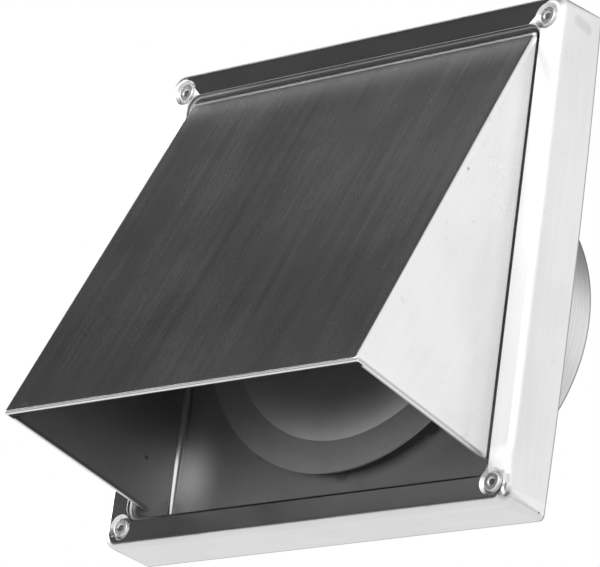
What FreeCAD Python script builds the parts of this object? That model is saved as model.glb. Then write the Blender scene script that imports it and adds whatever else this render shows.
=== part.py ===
"""Hooded wall vent cap with a gravity flap, folded and pressed from stainless sheet.

The origin is on the duct axis at the wall plane, which is the plane of the trim
frame's rear edge.  +Y points into the wall along the duct, -Y out of the wall,
+Z up and +X to the right as seen from outside.  All lengths are millimetres.
"""
import FreeCAD, Part
import math
import os

V = FreeCAD.Vector

# Sheet and gaps
sheet = 0.8                    # stainless sheet of the frame, pan, hood and flap
seat_gap = 0.3                 # flap to gasket when the flap hangs closed
slip = 0.05                    # fitted sheet walls that are spot welded together

# Duct collar
collar_sheet = 0.5
collar_outer_r = 50.2          # fits a 100 mm duct
collar_length = 39.2           # wall plane to the free end
collar_flange_width = 6.8      # flange spot welded behind the back plate
collar_bend_r = 0.8            # outside radius from tube to flange
plate_hole_clear = 0.3         # back plate's hole around the collar's tube

# Gasket ring on the back plate
gasket_margin = 0.7            # from the collar's outside to the ring's bore
gasket_width = 3.5

# Flap disc
flap_overhang = 1.0            # flap beyond the gasket
flap_lead = 4.0                # flap's rear face in front of the back plate
flap_boss_margin = 9.7         # flat rim around the raised centre
flap_boss_h = 1.2              # height of the raised centre
flap_shoulder_width = 12.0     # radial width of its rounded shoulder
knuckle_inner_x = 14.0
knuckle_width = 10.0

# Hinge
pin_r = 1.0
pin_run = 0.05                 # radial running clearance of the knuckles
pin_fit = 0.02                 # radial clearance in the brackets' holes
pin_rise = 3.2                 # pin's axis above the top of the flap
pin_head_r = 1.6
pin_head_face_r = 1.2
pin_head_t = 0.9
bracket_t = 1.0
bracket_side_gap = 0.6         # knuckle end to bracket ear
bracket_foot_length = 10.0
bracket_half_height = 3.6
bracket_front_margin = 1.6     # ear beyond the pin's front
bracket_bend_r = 1.6
bracket_nose_r = 2.1           # rounded front corners of the ear

# Base pan
pan_head_room = 7.1            # pin's axis to the inside of the pan's top wall
pan_corner_r = 3.0             # inside corner radius of the walls
pan_bend_r = 2.0               # inside radius from walls to back plate
pan_lip_r = 2.0                # outside radius from walls to front flange
pan_wall_clear = 0.8           # back plate's rear face to the wall plane
pan_flange_clear = 2.0         # flange's edge to the inside of the frame's skirt
pan_flange_corner_r = 4.0

# Trim frame
frame_depth = 18.0             # front face to the wall plane
opening_margin = 1.3           # opening's edge outside the pan's walls
rim_width = 8.0                # front face from the opening to the skirt
frame_corner_r = 5.0           # skirt corners at the front face
skirt_rear_r = 1.6             # and at the wall
frame_bend_r = 2.0             # outside radius between front face and skirt
skirt_draw_in = 1.0            # how far the skirt's rear corners are pulled in
opening_edge_r = 0.25          # rolled burr on the opening's front edge

# Hood
hood_fold_r = 1.4              # outside radius of the folds
hood_bend_inset = 1.0          # the roof leaves the pan's top wall this far behind the front face
hood_projection = 56.2         # front face to the lip
hood_lip_drop = 52.6           # lip below the duct axis
cheek_foot_gap = 3.2           # cheeks' lower edge above the pan's bottom wall
cheek_end_inset = 5.9          # where the cheeks' hem stops, behind the front face
cheek_tail_gap = 2.4           # cheeks' and roof flange's rear edge in front of the back plate
cheek_tail_rise = 6.2          # lower rear corner above the cheeks' lower edge
hood_relief_clear = 0.3        # corner notch beyond the pan's corner radius
hem_width = 6.0                # width of the folded hem round the mouth
hem_gap = 0.1                  # gap inside the closed hem
hem_round_r = 0.6              # rounded outer edge of the hem
lip_fold_land = 4.0            # the cheeks' hem starts this far behind the lip
mouth_cut = 18.0               # how far the inside is cut on past the lip

# Corner blind rivets
rivet_inset = 6.2              # rivet axis from the skirt's outside, both ways
rivet_shank_r = 1.6
rivet_head_r = 2.75
rivet_head_h = 0.75
rivet_edge_r = 0.5             # rounded edge of the head
rivet_eye_r = 1.3              # countersink round the bore
rivet_eye_depth = 0.3
rivet_bulb_r = 2.4
rivet_bulb_length = 2.4
rivet_bore_r = 0.95
mandrel_clear = 0.05
mandrel_recess = 0.45          # mandrel's broken end below the face of the head
mandrel_head_r = 1.5
mandrel_head_end_r = 1.05
mandrel_head_length = 1.8
dimple_r = 4.0                 # outer edge of the dimple in the front face
dimple_floor_r = 2.95
dimple_depth = 0.9
dimple_back_r = 3.9            # outer edge of the dimple on the sheet's back

# Sizes across the duct axis, from the collar outwards
gasket_inner_r = collar_outer_r + gasket_margin
gasket_outer_r = gasket_inner_r + gasket_width
flap_r = gasket_outer_r + flap_overhang
flap_boss_r = flap_r - flap_boss_margin
pin_z = flap_r + pin_rise
pan_half = pin_z + pan_head_room
opening_half = pan_half + opening_margin
frame_half = opening_half + rim_width
pan_flange_half = frame_half - sheet - pan_flange_clear
rivet_offset = frame_half - rivet_inset
collar_flange_r = collar_outer_r + collar_flange_width
knuckle_outer_x = knuckle_inner_x + knuckle_width
hem_layers_t = 2 * sheet + hem_gap

# Planes along the duct axis, from the wall outwards
plate_back_y = -pan_wall_clear
plate_front_y = plate_back_y - sheet
face_y = -frame_depth
face_back_y = face_y + sheet
flange_back_y = face_back_y + sheet
flap_back_y = plate_front_y - flap_lead
flap_front_y = flap_back_y - sheet
gasket_front_y = flap_back_y + seat_gap
knuckle_bore_r = pin_r + pin_run
knuckle_outer_r = knuckle_bore_r + sheet
pin_y = flap_front_y + knuckle_outer_r

overcut = 1.0                  # how far cutting tools run past the sheet
lap = 0.01                     # overlap that joins the layers of a hem
near = 1e-3                    # two positions closer than this are the same


def rounded_square(half, radius, y, side_pull=0.0):
    """Wire in the plane Y = y.  side_pull draws the corners of the left and right
    sides in, so that those two sides bow outwards in the middle."""
    half_x = half - side_pull
    k = radius * (1 - math.sqrt(0.5))
    edges = []
    for turn in range(4):
        side_is_vertical = turn % 2 == 0
        a = math.radians(90 * turn)

        def place(u, w):
            """u runs outwards from the side, w along it."""
            x = u * math.cos(a) - w * math.sin(a)
            z = u * math.sin(a) + w * math.cos(a)
            return V(x, y, z)

        out = half_x if side_is_vertical else half
        along = half if side_is_vertical else half_x
        start = place(out, -along + radius)
        end = place(out, along - radius)
        if side_is_vertical and side_pull > 0:
            edges.append(Part.Arc(start, place(out + side_pull, 0), end).toShape())
        else:
            edges.append(Part.makeLine(start, end))
        corner_mid = place(out - k, along - k)
        corner_end = place(out - radius, along)
        edges.append(Part.Arc(end, corner_mid, corner_end).toShape())
    return Part.Wire(edges)


def square_prism(half, radius, y_front, y_rear):
    face = Part.Face(rounded_square(half, radius, y_front))
    return face.extrude(V(0, y_rear - y_front, 0))


def edges_in_plane(shape, y):
    """Edges that lie wholly in the plane Y = y."""
    return [e for e in shape.Edges
            if abs(e.BoundBox.YMin - y) < near and abs(e.BoundBox.YMax - y) < near]


def edges_inside(edges, half):
    """Those of the edges that lie within the square of the given half side."""
    inside = []
    for e in edges:
        box = e.BoundBox
        if max(box.XMax, -box.XMin, box.ZMax, -box.ZMin) < half + near:
            inside.append(e)
    return inside


def disc(radius, y_front, y_rear, x=0.0, z=0.0):
    return Part.makeCylinder(radius, y_rear - y_front, V(x, y_front, z), V(0, 1, 0))


def cone(r_front, r_rear, y_front, y_rear, x, z):
    return Part.makeCone(r_front, r_rear, y_rear - y_front, V(x, y_front, z), V(0, 1, 0))


def turned(points_and_arcs):
    """Solid of revolution about the duct axis.  Each item is (r, y), or
    (r, y, r_mid, y_mid) for an arc that reaches (r, y) through the middle point."""
    def at(r, y):
        return V(r, y, 0)
    edges = []
    first = points_and_arcs[0]
    last = at(first[0], first[1])
    for item in points_and_arcs[1:] + [first]:
        here = at(item[0], item[1])
        if len(item) == 4 and item is not first:
            edges.append(Part.Arc(last, at(item[2], item[3]), here).toShape())
        else:
            edges.append(Part.makeLine(last, here))
        last = here
    face = Part.Face(Part.Wire(edges))
    return face.revolve(V(0, 0, 0), V(0, 1, 0), 360)


def bend_mid(centre_r, centre_y, radius):
    """Middle of the quarter bend that faces the axis and the front."""
    reach = radius * math.sqrt(0.5)
    return centre_r - reach, centre_y - reach


def rivet_places():
    return [(sx * rivet_offset, sz * rivet_offset) for sz in (1, -1) for sx in (-1, 1)]


def dimple_recess(front_y, x, z, front_r):
    return cone(front_r, dimple_floor_r, front_y, front_y + dimple_depth, x, z)


def pull_at(y):
    """Draw-in of the skirt's side corners, growing from the front face to the wall."""
    return skirt_draw_in * (y + frame_depth) / frame_depth


def corner_at(y):
    """Outside radius of the skirt's corners, shrinking from the front face to the wall."""
    return frame_corner_r + (skirt_rear_r - frame_corner_r) * (y + frame_depth) / frame_depth


def make_trim_frame():
    """Front face, skirt and rolled opening edge, one folded sheet."""
    outer = Part.makeLoft([rounded_square(frame_half, frame_corner_r, face_y),
                           rounded_square(frame_half, skirt_rear_r, 0.0, skirt_draw_in)],
                          True, True)
    outer = outer.makeFillet(frame_bend_r, edges_in_plane(outer, face_y))
    inner_half = frame_half - sheet
    inner = Part.makeLoft([rounded_square(inner_half, corner_at(face_back_y) - sheet, face_back_y,
                                          pull_at(face_back_y)),
                           rounded_square(inner_half, skirt_rear_r - sheet, 0.0, skirt_draw_in)],
                          True, True)
    inner = inner.makeFillet(frame_bend_r - sheet, edges_in_plane(inner, face_back_y))
    frame = outer.cut(inner)
    opening_r = pan_corner_r + opening_half - pan_half
    frame = frame.cut(square_prism(opening_half, opening_r, face_y - overcut, face_back_y + overcut))
    rim_edges = edges_inside(edges_in_plane(frame, face_y), opening_half)
    frame = frame.makeFillet(opening_edge_r, rim_edges)
    for x, z in rivet_places():
        frame = frame.fuse(cone(dimple_back_r, dimple_floor_r, face_back_y,
                                face_back_y + dimple_depth, x, z))
    for x, z in rivet_places():
        frame = frame.cut(dimple_recess(face_y, x, z, dimple_r))
        frame = frame.cut(disc(rivet_shank_r, face_y - overcut, flange_back_y + dimple_depth, x, z))
    return frame.removeSplitter()


def make_base_pan():
    """Back plate, four walls and a front flange behind the trim frame, one pressing."""
    wall_outer = pan_half + sheet
    body = square_prism(wall_outer, pan_corner_r + sheet, face_back_y, plate_back_y)
    body = body.makeFillet(pan_bend_r + sheet, edges_in_plane(body, plate_back_y))
    flange = square_prism(pan_flange_half, pan_flange_corner_r, face_back_y, flange_back_y)
    pan = body.fuse(flange).removeSplitter()
    root = edges_inside(edges_in_plane(pan, flange_back_y), wall_outer)
    pan = pan.makeFillet(pan_lip_r - sheet, root)
    cavity = square_prism(pan_half, pan_corner_r, face_back_y - overcut, plate_front_y)
    cavity = cavity.makeFillet(pan_bend_r, edges_in_plane(cavity, plate_front_y))
    pan = pan.cut(cavity)
    mouth = edges_inside(edges_in_plane(pan, face_back_y), pan_half)
    pan = pan.makeFillet(pan_lip_r, mouth)
    hole_r = collar_outer_r + plate_hole_clear
    pan = pan.cut(disc(hole_r, plate_front_y - overcut, plate_back_y + overcut))
    for x, z in rivet_places():
        pan = pan.fuse(cone(dimple_back_r, dimple_floor_r, flange_back_y,
                            flange_back_y + dimple_depth, x, z))
    for x, z in rivet_places():
        pan = pan.cut(dimple_recess(face_back_y, x, z, dimple_back_r))
        pan = pan.cut(disc(rivet_shank_r, face_back_y, flange_back_y + sheet + overcut, x, z))
    return pan.removeSplitter()


def side_profile(points, half):
    """Prism across X of a polygon given as (y, z)."""
    wire = Part.makePolygon([V(-half, y, z) for y, z in points + points[:1]])
    return Part.Face(wire).extrude(V(2 * half, 0, 0))


def unit(a, b):
    length = math.hypot(b[0] - a[0], b[1] - a[1])
    return (b[0] - a[0]) / length, (b[1] - a[1]) / length


def offset(point, direction, distance):
    return point[0] + direction[0] * distance, point[1] + direction[1] * distance


def make_hood():
    """Roof, two cheeks and a hemmed mouth, one folded sheet."""
    half = pan_half - slip
    bend_y = face_y + hood_bend_inset
    tail_y = plate_front_y - cheek_tail_gap
    foot_z = cheek_foot_gap - pan_half
    roof_top = (bend_y, half)
    tail_top = (tail_y, half)
    lip = (face_y - hood_projection, -hood_lip_drop)
    cheek_end = (face_y + cheek_end_inset, foot_z)
    tail_low = (tail_y, foot_z + cheek_tail_rise)
    down = unit(roof_top, lip)
    inward = (-down[1], down[0])
    roof_angle = math.atan2(roof_top[1] - lip[1], roof_top[0] - lip[0])
    bend_shift = sheet * math.tan(roof_angle / 2)

    outer = side_profile([tail_top, roof_top, lip, cheek_end, tail_low], half)
    outer = outer.makeFillet(hood_fold_r, fold_edges(outer, roof_top, lip))

    inner_roof_top = (roof_top[0] + bend_shift, roof_top[1] - sheet)
    inner_lip_far = offset(offset(lip, inward, sheet), down, mouth_cut)
    inner_half = half - sheet
    inner = side_profile([(overcut, inner_roof_top[1]), inner_roof_top, inner_lip_far,
                          (overcut, inner_lip_far[1])], inner_half)
    inner = inner.makeFillet(hood_fold_r - sheet, fold_edges(inner, inner_roof_top, inner_lip_far))
    hood = outer.cut(inner)

    notch_side = pan_corner_r + hood_relief_clear
    for side in (-1, 1):
        x0 = half - notch_side if side > 0 else -half
        notch = Part.makeBox(notch_side, -bend_y, notch_side, V(x0, bend_y, half - notch_side))
        hood = hood.cut(notch)

    roof_hem_far = offset(lip, down, -hem_width)
    roof_hem = side_profile([
        offset(lip, inward, sheet - lap),
        offset(roof_hem_far, inward, sheet + hem_gap),
        offset(roof_hem_far, inward, hem_layers_t),
        offset(lip, inward, hem_layers_t)], inner_half)
    hood = hood.fuse(roof_hem.common(outer))

    edge = unit(lip, cheek_end)
    up = (-edge[1], edge[0])
    start = offset(lip, edge, lip_fold_land)
    for side in (-1, 1):
        strip = cheek_hem(start, cheek_end, edge, up, side, half)
        hood = hood.fuse(strip)
    hood = hood.removeSplitter()
    return hood.makeFillet(hem_round_r, mouth_edges(hood, lip, up, half))


def fold_edges(shape, roof_top, lip):
    """The edges round the roof: its two long sides, its bend, and the flange's sides."""
    folds = []
    for e in shape.Edges:
        box = e.BoundBox
        on_flange = box.ZMin > roof_top[1] - near and box.YMin > roof_top[0] - near
        rear_edge = box.YMax - box.YMin < near and box.YMin > roof_top[0] + near
        on_roof = (box.YMin < lip[0] + near and box.YMax > roof_top[0] - near
                   and box.ZMax > roof_top[1] - near)
        if on_roof or (on_flange and not rear_edge):
            folds.append(e)
    return folds


def mouth_edges(hood, lip, up, half):
    """Outer edges of the mouth's rim, which lies in one plane square to "up"."""
    found = []
    for e in hood.Edges:
        ends = [v.Point for v in e.Vertexes] + [e.valueAt((e.FirstParameter + e.LastParameter) / 2)]
        in_plane = all(abs((p.y - lip[0]) * up[0] + (p.z - lip[1]) * up[1]) < near for p in ends)
        box = e.BoundBox
        on_cheek = box.XMax - box.XMin < near and abs(abs(box.XMax) - half) < near
        on_roof = box.YMax < lip[0] + hood_fold_r and (box.XMax - box.XMin > half
                                                       or abs(max(box.XMax, -box.XMin) - half) < near)
        if in_plane and (on_cheek or on_roof):
            found.append(e)
    return found


def cheek_hem(start, end, edge, up, side, half):
    """Inner layer of the hem along one cheek's lower edge."""
    far_start = offset(offset(start, up, hem_width), edge, hem_width)
    far_end = offset(offset(end, up, hem_width), edge, -hem_width)
    wire = Part.makePolygon([V(0, y, z) for y, z in (start, end, far_end, far_start, start)])
    layer = Part.Face(wire).extrude(V(hem_layers_t - sheet + lap, 0, 0))
    if side > 0:
        layer.translate(V(half - hem_layers_t, 0, 0))
    else:
        layer.translate(V(-half + sheet - lap, 0, 0))
    return layer


def make_duct_collar():
    """Rolled tube with a turned-out flange behind the back plate."""
    inner_r = collar_outer_r - collar_sheet
    centre_r = collar_outer_r + collar_bend_r - collar_sheet
    centre_y = plate_back_y + collar_bend_r
    flange_rear_y = plate_back_y + collar_sheet
    front_mid = bend_mid(centre_r, centre_y, collar_bend_r)
    back_mid = bend_mid(centre_r, centre_y, collar_bend_r - collar_sheet)
    return turned([
        (inner_r, collar_length),
        (inner_r, centre_y),
        (centre_r, plate_back_y) + front_mid,
        (collar_flange_r, plate_back_y),
        (collar_flange_r, flange_rear_y),
        (centre_r, flange_rear_y),
        (collar_outer_r, centre_y) + back_mid,
        (collar_outer_r, collar_length)])


def make_seat_gasket():
    ring = disc(gasket_outer_r, gasket_front_y, plate_front_y)
    return ring.cut(disc(gasket_inner_r, gasket_front_y - overcut, plate_front_y + overcut))


def shoulder(flat_r, centre_y, radius, end_y):
    """Arc that leaves a flat centre at flat_r and ends in the plane Y = end_y, as the
    end's radius and the middle point."""
    turn = math.acos((centre_y - end_y) / radius)
    end_r = flat_r + radius * math.sin(turn)
    mid = (flat_r + radius * math.sin(turn / 2), centre_y - radius * math.cos(turn / 2))
    return end_r, mid


def make_flap_disc():
    """Round flap with a raised centre and two rolled hinge knuckles, one sheet."""
    boss_front_y = flap_front_y - flap_boss_h
    boss_back_y = flap_back_y - flap_boss_h
    flat_r = flap_boss_r - flap_shoulder_width
    bend = (flap_shoulder_width ** 2 + flap_boss_h ** 2) / (2 * flap_boss_h)
    centre_y = boss_front_y + bend
    front_mid = shoulder(flat_r, centre_y, bend, flap_front_y)[1]
    back_r, back_mid = shoulder(flat_r, centre_y, bend - sheet, flap_back_y)
    flap = turned([
        (0, boss_front_y),
        (flat_r, boss_front_y),
        (flap_boss_r, flap_front_y) + front_mid,
        (flap_r, flap_front_y),
        (flap_r, flap_back_y),
        (back_r, flap_back_y),
        (flat_r, boss_back_y) + back_mid,
        (0, boss_back_y)])
    root_z = math.sqrt(flap_r ** 2 - knuckle_outer_x ** 2) - sheet
    for side in (-1, 1):
        x0 = knuckle_inner_x if side > 0 else -knuckle_outer_x
        tab = Part.makeBox(knuckle_width, sheet, pin_z - root_z, V(x0, flap_front_y, root_z))
        eye = Part.makeCylinder(knuckle_outer_r, knuckle_width, V(x0, pin_y, pin_z), V(1, 0, 0))
        flap = flap.fuse(tab).fuse(eye)
    for side in (-1, 1):
        x0 = knuckle_inner_x if side > 0 else -knuckle_outer_x
        bore = Part.makeCylinder(knuckle_bore_r, knuckle_width + 2 * overcut,
                                 V(x0 - overcut, pin_y, pin_z), V(1, 0, 0))
        flap = flap.cut(bore)
    return flap.removeSplitter()


def make_hinge_pin():
    """Plain pin with a formed head outside each bracket."""
    half = knuckle_outer_x + bracket_side_gap + bracket_t
    pin = Part.makeCylinder(pin_r, 2 * half, V(-half, pin_y, pin_z), V(1, 0, 0))
    for side in (-1, 1):
        head = Part.makeCone(pin_head_r, pin_head_face_r, pin_head_t,
                             V(side * half, pin_y, pin_z), V(side, 0, 0))
        pin = pin.fuse(head)
    return pin.removeSplitter()


def make_hinge_bracket(side):
    """Angle bracket: a foot spot welded to the back plate and an ear round the pin."""
    ear_inner = knuckle_outer_x + bracket_side_gap
    foot_front = plate_front_y - bracket_t
    ear_front = pin_y - pin_r - bracket_front_margin
    height = 2 * bracket_half_height
    z0 = pin_z - bracket_half_height
    outline = Part.makePolygon([
        V(ear_inner, plate_front_y, z0),
        V(ear_inner + bracket_foot_length, plate_front_y, z0),
        V(ear_inner + bracket_foot_length, foot_front, z0),
        V(ear_inner + bracket_t, foot_front, z0),
        V(ear_inner + bracket_t, ear_front, z0),
        V(ear_inner, ear_front, z0),
        V(ear_inner, plate_front_y, z0)])
    bracket = Part.Face(outline).extrude(V(0, 0, height))
    outer_bend = [e for e in edges_in_plane(bracket, plate_front_y)
                  if e.BoundBox.XMax < ear_inner + near]
    bracket = bracket.makeFillet(bracket_bend_r, outer_bend)
    nose = [e for e in edges_in_plane(bracket, ear_front)
            if e.BoundBox.ZMax - e.BoundBox.ZMin < near]
    bracket = bracket.makeFillet(bracket_nose_r, nose)
    bore = Part.makeCylinder(pin_r + pin_fit, bracket_t + 2 * overcut,
                             V(ear_inner - overcut, pin_y, pin_z), V(1, 0, 0))
    bracket = bracket.cut(bore)
    if side < 0:
        bracket = bracket.mirror(V(0, 0, 0), V(1, 0, 0))
    return bracket


def make_corner_rivets():
    """Four blind rivets: flat head in the dimple, shank and rear bulb, bored through."""
    seat_y = face_y + dimple_depth
    head_y = seat_y - rivet_head_h
    grip_end_y = flange_back_y + dimple_depth
    rivets = []
    for x, z in rivet_places():
        head = disc(rivet_head_r, head_y, seat_y, x, z)
        head = head.makeFillet(rivet_edge_r, edges_in_plane(head, head_y))
        shank = disc(rivet_shank_r, seat_y, grip_end_y, x, z)
        bulb = cone(rivet_bulb_r, rivet_shank_r, grip_end_y, grip_end_y + rivet_bulb_length, x, z)
        body = head.fuse(shank).fuse(bulb)
        bore = disc(rivet_bore_r, head_y - overcut, grip_end_y + rivet_bulb_length + overcut, x, z)
        eye = cone(rivet_eye_r, rivet_bore_r, head_y, head_y + rivet_eye_depth, x, z)
        rivets.append(body.cut(bore).cut(eye).removeSplitter())
    return Part.makeCompound(rivets)


def make_corner_rivet_mandrels():
    """The snapped mandrels left inside the four rivets."""
    head_y = face_y + dimple_depth - rivet_head_h
    bulb_end_y = flange_back_y + dimple_depth + rivet_bulb_length
    stems = []
    for x, z in rivet_places():
        stem = disc(rivet_bore_r - mandrel_clear, head_y + mandrel_recess, bulb_end_y, x, z)
        head = cone(mandrel_head_r, mandrel_head_end_r, bulb_end_y,
                    bulb_end_y + mandrel_head_length, x, z)
        stems.append(stem.fuse(head).removeSplitter())
    return Part.makeCompound(stems)


os.makedirs("parts", exist_ok=True)

pieces = {
    "trim_frame": make_trim_frame(),
    "base_pan": make_base_pan(),
    "hood": make_hood(),
    "duct_collar": make_duct_collar(),
    "seat_gasket": make_seat_gasket(),
    "flap_disc": make_flap_disc(),
    "hinge_pin": make_hinge_pin(),
    "hinge_bracket_left": make_hinge_bracket(-1),
    "hinge_bracket_right": make_hinge_bracket(1),
    "corner_rivets": make_corner_rivets(),
    "corner_rivet_mandrels": make_corner_rivet_mandrels(),
}

for name, shape in pieces.items():
    shape.exportStep(os.path.join("parts", name + ".step"))
    box = shape.BoundBox
    print(name, "valid", shape.isValid(), "solids", len(shape.Solids),
          "volume", round(shape.Volume, 1),
          "box", [round(v, 2) for v in (box.XMin, box.YMin, box.ZMin, box.XMax, box.YMax, box.ZMax)])
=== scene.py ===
"""Finishes and studio for a hooded wall vent cap in brushed stainless sheet.

The frame's own pieces keep their shape and get their finishes here.  Positions
are metres in the frame of the cap: origin on the duct axis at the wall plane,
-Y out of the wall, +Z up.
"""
import math

import bmesh
import bpy
from mathutils import Matrix, Vector


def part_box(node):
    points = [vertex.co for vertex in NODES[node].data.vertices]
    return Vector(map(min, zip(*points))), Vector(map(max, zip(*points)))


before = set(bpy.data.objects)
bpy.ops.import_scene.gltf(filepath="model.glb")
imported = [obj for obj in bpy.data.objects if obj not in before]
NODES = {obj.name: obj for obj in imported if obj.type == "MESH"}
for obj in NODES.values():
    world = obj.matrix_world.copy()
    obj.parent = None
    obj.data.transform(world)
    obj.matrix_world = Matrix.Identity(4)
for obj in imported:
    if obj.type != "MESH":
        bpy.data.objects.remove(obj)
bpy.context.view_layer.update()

bl_info = {
    "name": "Wall Vent Cap",
    "version": (1, 0, 0),
    "blender": (4, 5, 0),
    "location": "View3D > Sidebar > Vent Cap",
    "description": "Brushed steel finishes, gasket rubber and a pale studio for a hooded wall vent cap",
    "category": "Material",
}

HOOD_LOW, HOOD_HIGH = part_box("hood")
FRAME_LOW, FRAME_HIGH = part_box("trim_frame")
COLLAR_FREE_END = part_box("duct_collar")[1][1]

MM = 0.001
SHEET = 0.0008                          # stainless sheet of the hood, pan and frame
ROOF_FOLD_INSET = 0.001                 # roof's top fold, behind the frame's front
LIP_HEIGHT = -0.0526                    # hood's lip, against the duct axis
HEM_END_INSET = 0.0059                  # where the cheeks' hem stops, behind the frame's front
HEM_END_HEIGHT = -0.0625                # that end, against the duct axis
ROOF_TOP = Vector((0.0, FRAME_LOW[1] + ROOF_FOLD_INSET, HOOD_HIGH[2]))
ROOF_LIP = Vector((0.0, HOOD_LOW[1], LIP_HEIGHT))
DOWN_ROOF = (ROOF_LIP - ROOF_TOP).normalized()
OUT_OF_ROOF = Vector((0.0, DOWN_ROOF.z, -DOWN_ROOF.y))
RIM_END = Vector((0.0, FRAME_LOW[1] + HEM_END_INSET, HEM_END_HEIGHT))
ALONG_RIM = (RIM_END - ROOF_LIP).normalized()
INTO_HOOD = Vector((0.0, -ALONG_RIM.z, ALONG_RIM.y))    # square to the mouth's rim
WELD_RING_RADIUS = 0.0547               # spot welds of the collar's flange
WELD_COUNT = 10
PAINTED_HIGHLIGHT = (0.97, 0.97, 0.97)          # colour of the painted highlights on edges and bends


class VentCapFinishSettings(bpy.types.PropertyGroup):
    """Colours and brushing of the pieces."""
    steel: bpy.props.FloatVectorProperty(
        name="Steel", description="Colour that the frame, hood, flap, collar and pin start from",
        default=(0.73, 0.73, 0.735), subtype="COLOR", min=0, max=1)
    mill_steel: bpy.props.FloatVectorProperty(
        name="Mill Steel", description="Colour that the pan, brackets, rivets and hood's inside start from",
        default=(0.70, 0.70, 0.705), subtype="COLOR", min=0, max=1)
    rubber: bpy.props.FloatVectorProperty(
        name="Gasket Rubber", description="Colour of the gasket ring",
        default=(0.05, 0.05, 0.05), subtype="COLOR", min=0, max=1)
    grime: bpy.props.FloatVectorProperty(
        name="Grime", description="Colour of the small dark marks",
        default=(0.06, 0.058, 0.055), subtype="COLOR", min=0, max=1)
    line_pitch: bpy.props.FloatProperty(
        name="Brush Line Pitch", description="Distance between the brush lines that show",
        default=0.00045, unit="LENGTH", min=0.0001)
    line_length: bpy.props.FloatProperty(
        name="Brush Line Length", description="Length of one brush line",
        default=0.035, unit="LENGTH", min=0.001)
    line_depth: bpy.props.FloatProperty(
        name="Brush Line Depth", description="Depth of the brush lines",
        default=0.0000004, unit="LENGTH", min=0)
    line_contrast: bpy.props.FloatProperty(
        name="Brush Line Contrast", description="How much darker the brush lines are than the sheet",
        default=0.10, subtype="FACTOR", min=0, max=1)
    roughness: bpy.props.FloatProperty(
        name="Brushed Roughness", description="Roughness of the hood's brushed faces",
        default=0.26, subtype="FACTOR", min=0, max=1)
    level_roughness: bpy.props.FloatProperty(
        name="Level Roughness", description="Roughness of the trim frame's level sides",
        default=0.20, subtype="FACTOR", min=0, max=1)
    upright_roughness: bpy.props.FloatProperty(
        name="Upright Roughness", description="Roughness of the trim frame's upright sides",
        default=0.38, subtype="FACTOR", min=0, max=1)
    anisotropy: bpy.props.FloatProperty(
        name="Brushed Anisotropy", description="How much the lines stretch a highlight across themselves",
        default=0.85, subtype="FACTOR", min=0, max=1)
    mill_roughness: bpy.props.FloatProperty(
        name="Mill Roughness", description="Roughness of the unbrushed sheet",
        default=0.50, subtype="FACTOR", min=0, max=1)


class VentCapStageSettings(bpy.types.PropertyGroup):
    """Floor, light and camera."""
    floor_drop: bpy.props.FloatProperty(
        name="Floor Drop", description="Floor below the duct axis",
        default=0.60, unit="LENGTH", min=0.5)
    floor_size: bpy.props.FloatProperty(
        name="Floor Size", description="Side of the square floor",
        default=16.0, unit="LENGTH", min=1)
    surround_light: bpy.props.FloatProperty(
        name="Surround", description="Strength of the pale surround",
        default=1.18, min=0)
    panel_light: bpy.props.FloatProperty(
        name="Panels", description="Strength of the two bright panels beside the front dark card",
        default=4.6, min=0)
    ceiling_light: bpy.props.FloatProperty(
        name="Ceiling", description="Strength of the dim ceiling over the left side, from front to back",
        default=0.047, min=0)
    top_light: bpy.props.FloatProperty(
        name="Top Panel", description="Strength of the soft panel high at the left, behind the part",
        default=0.95, min=0)
    key_light: bpy.props.FloatProperty(
        name="Key", description="Strength of the large light at the front right",
        default=2.3, min=0)
    card_light: bpy.props.FloatProperty(
        name="Cards", description="Strength of the dark cards at the front left and the back left",
        default=0.065, min=0)
    camera_place: bpy.props.FloatVectorProperty(
        name="Camera Place", description="Where the camera stands",
        default=(0.76375, -0.84153, -0.40508), subtype="TRANSLATION")
    camera_aim: bpy.props.FloatVectorProperty(
        name="Camera Aim", description="A point on the camera's line of sight",
        default=(-0.01530, -0.01427, -0.00029), subtype="TRANSLATION")
    camera_roll: bpy.props.FloatProperty(
        name="Camera Roll", description="Turn of the camera about its line of sight",
        default=math.radians(7.90), subtype="ANGLE")
    focal_length: bpy.props.FloatProperty(
        name="Focal Length", description="Lens length in millimetres on a 36 mm wide frame",
        default=251.12, min=10)
    shift_x: bpy.props.FloatProperty(
        name="Shift Across", description="Lens shift, as a share of the picture's width",
        default=0.0042)
    shift_y: bpy.props.FloatProperty(
        name="Shift Up", description="Lens shift, as a share of the picture's width",
        default=0.0077)


def new_tree(tree, output_type):
    """Empty a node tree and give it its output node."""
    tree.nodes.clear()
    return tree.nodes.new(output_type)


def feed(tree, socket, value):
    """Give a socket a link, a vector, a colour or a number."""
    if isinstance(value, bpy.types.NodeSocket):
        tree.links.new(value, socket)
    elif hasattr(socket.default_value, "__len__") and not hasattr(value, "__len__"):
        socket.default_value = [value] * len(socket.default_value)
    elif hasattr(value, "__len__") and len(value) < len(socket.default_value):
        socket.default_value = [*value, 1.0]
    else:
        socket.default_value = value


def number(tree, operation, *values):
    """A maths node on numbers."""
    node = tree.nodes.new("ShaderNodeMath")
    node.operation = operation
    for socket, value in zip(node.inputs, values):
        feed(tree, socket, value)
    return node.outputs[0]


SCALAR_RESULTS = ("DOT_PRODUCT", "DISTANCE", "LENGTH")


def vector(tree, operation, *values):
    """A maths node on vectors."""
    node = tree.nodes.new("ShaderNodeVectorMath")
    node.operation = operation
    for socket, value in zip(node.inputs, values):
        feed(tree, socket, value)
    return node.outputs["Value"] if operation in SCALAR_RESULTS else node.outputs[0]


def axes(tree, place):
    """X, Y and Z of a vector."""
    node = tree.nodes.new("ShaderNodeSeparateXYZ")
    feed(tree, node.inputs[0], place)
    return node.outputs


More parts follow.
